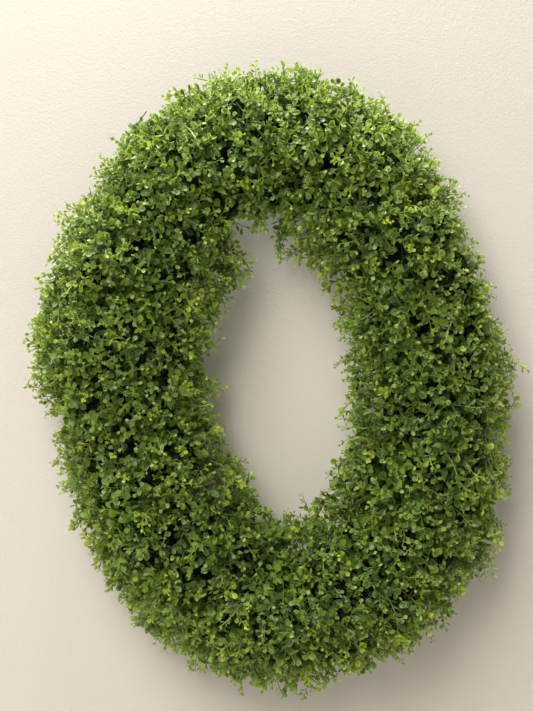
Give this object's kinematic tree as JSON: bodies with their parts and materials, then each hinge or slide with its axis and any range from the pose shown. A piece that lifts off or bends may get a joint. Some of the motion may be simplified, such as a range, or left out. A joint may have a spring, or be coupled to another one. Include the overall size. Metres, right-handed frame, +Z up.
{
  "type": "sedum wreath",
  "caption": "Oval hanging wreath of small round-leaved sedum sprigs, bunched on a wire frame round an open middle.",
  "frame": {"origin": "under the top of the outer ring of the wire frame, where a nail carries the wreath", "axes": "+Z up as it hangs, +Y into the wall, +X to the right as it is looked at, with its long axis 5.6 degrees out of plumb"},
  "size_m": [0.6127, 0.1603, 0.7616],
  "materials": {
    "leaf": "matt olive green, with paler rims and yellow-green young tips",
    "wire": "dark green lacquer"
  },
  "bodies": {
    "root": {"wire_frame": "wire", "outer_bunch_01": "leaf", "outer_bunch_02": "leaf", "outer_bunch_03": "leaf", "outer_bunch_04": "leaf", "outer_bunch_05": "leaf", "outer_bunch_06": "leaf", "outer_bunch_07": "leaf", "outer_bunch_08": "leaf", "outer_bunch_09": "leaf", "outer_bunch_10": "leaf", "outer_bunch_11": "leaf", "outer_bunch_12": "leaf", "outer_bunch_13": "leaf", "outer_bunch_14": "leaf", "outer_bunch_15": "leaf", "outer_bunch_16": "leaf", "outer_bunch_17": "leaf", "outer_bunch_18": "leaf", "outer_bunch_19": "leaf", "outer_bunch_20": "leaf", "outer_bunch_21": "leaf", "outer_bunch_22": "leaf", "outer_bunch_23": "leaf", "outer_bunch_24": "leaf", "inner_bunch_01": "leaf", "inner_bunch_02": "leaf", "inner_bunch_03": "leaf", "inner_bunch_04": "leaf", "inner_bunch_05": "leaf", "inner_bunch_06": "leaf", "inner_bunch_07": "leaf", "inner_bunch_08": "leaf", "inner_bunch_09": "leaf", "inner_bunch_10": "leaf", "inner_bunch_11": "leaf", "inner_bunch_12": "leaf"}
  },
  "joints": []
}
